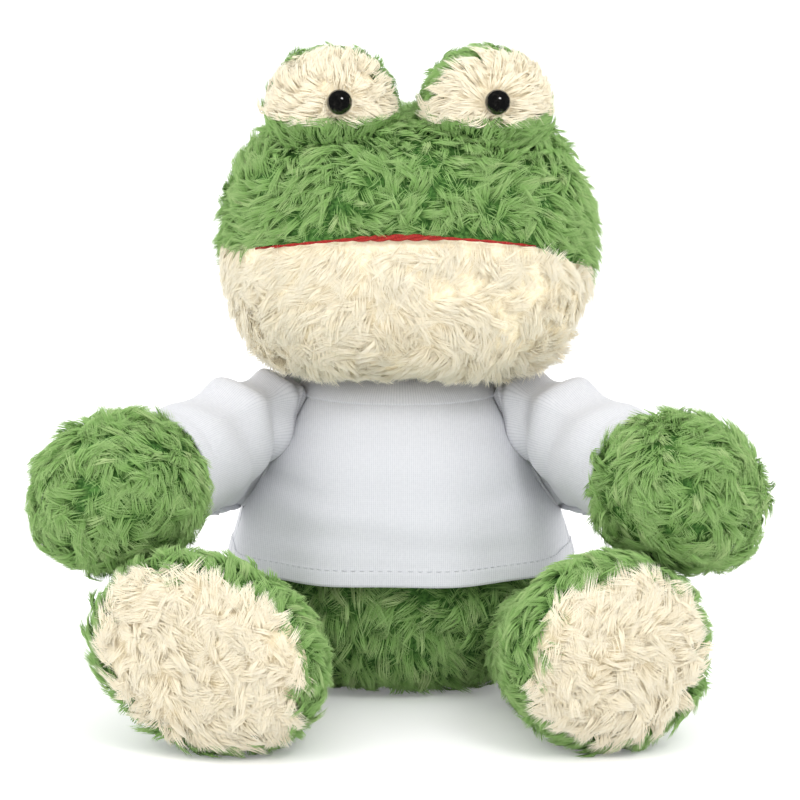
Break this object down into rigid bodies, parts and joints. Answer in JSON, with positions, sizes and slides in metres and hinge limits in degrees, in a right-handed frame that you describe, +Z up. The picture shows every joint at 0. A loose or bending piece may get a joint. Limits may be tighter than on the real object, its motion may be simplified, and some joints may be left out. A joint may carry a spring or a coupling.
{
  "type": "plush frog",
  "caption": "Stuffed frog that sits upright, with raised eye mounds, a wide mouth, round paws, big cream soles and a short-sleeved shirt.",
  "frame": {"origin": "bottom centre of the sitting frog's box, on the surface it sits on", "axes": "+Z up, the frog faces -Y, its own left side is +X"},
  "size_m": [0.2207, 0.1651, 0.1996],
  "materials": {
    "green_plush": "shaggy mid-green polyester plush, pile about 8 mm in clumps, darker at the roots",
    "white_fibre": "loose white polyester fibre",
    "sack_cloth": "thin woven bag cloth",
    "cream_plush": "shaggy cream polyester plush, pile about 8 mm in clumps",
    "black_plastic": "glossy black moulded plastic",
    "grey_plastic": "plain grey moulded plastic",
    "red_cord": "matt red embroidery cord",
    "white_jersey": "fine white single jersey, slightly bluish"
  },
  "bodies": {
    "torso": {"bean_bag": "sack_cloth", "shirt_back": "white_jersey", "shirt_front": "white_jersey", "shirt_neckband": "white_jersey", "shirt_sleeve_left": "white_jersey", "shirt_sleeve_right": "white_jersey", "torso_skin": "green_plush", "torso_stuffing": "white_fibre"},
    "head": {"chin_skin": "cream_plush", "eye_left": "black_plastic", "eye_mound_back_left": "green_plush", "eye_mound_back_right": "green_plush", "eye_mound_front_left": "cream_plush", "eye_mound_front_right": "cream_plush", "eye_mound_stuffing_left": "white_fibre", "eye_mound_stuffing_right": "white_fibre", "eye_right": "black_plastic", "eye_washer_left": "grey_plastic", "eye_washer_right": "grey_plastic", "head_skin": "green_plush", "head_stuffing": "white_fibre", "mouth_cord": "red_cord"},
    "arm_left": {"arm_skin_left": "green_plush", "arm_stuffing_left": "white_fibre"},
    "arm_right": {"arm_skin_right": "green_plush", "arm_stuffing_right": "white_fibre"},
    "leg_left": {"leg_skin_left": "green_plush", "leg_stuffing_left": "white_fibre", "sole_left": "cream_plush"},
    "leg_right": {"leg_skin_right": "green_plush", "leg_stuffing_right": "white_fibre", "sole_right": "cream_plush"}
  },
  "joints": [
    {"name": "head_turn", "type": "hinge", "parent": "torso", "child": "head", "pos_m": [0, 0.0346, 0.1], "axis": [0, 0, 1], "range_deg": [-30, 30], "stiffness_Nm_per_rad": 0.03},
    {"name": "arm_lift_left", "type": "hinge", "parent": "torso", "child": "arm_left", "pos_m": [0.03762, 0.02522, 0.0815], "axis": [-0.7934, -0.6088, 0], "range_deg": [0, 24], "stiffness_Nm_per_rad": 0.03, "deforming": ["shirt_sleeve_left"]},
    {"name": "arm_lift_right", "type": "hinge", "parent": "torso", "child": "arm_right", "pos_m": [-0.03762, 0.02522, 0.0815], "axis": [-0.7934, 0.6088, 0], "range_deg": [0, 24], "stiffness_Nm_per_rad": 0.03, "deforming": ["shirt_sleeve_right"]},
    {"name": "leg_drop_left", "type": "hinge", "parent": "torso", "child": "leg_left", "pos_m": [0.04118, 0.00004, 0.0175], "axis": [0.9483, 0.3173, 0], "range_deg": [0, 28], "stiffness_Nm_per_rad": 0.05},
    {"name": "leg_drop_right", "type": "hinge", "parent": "torso", "child": "leg_right", "pos_m": [-0.04118, 0.00004, 0.0175], "axis": [0.9703, -0.2419, 0], "range_deg": [0, 28], "stiffness_Nm_per_rad": 0.05}
  ]
}
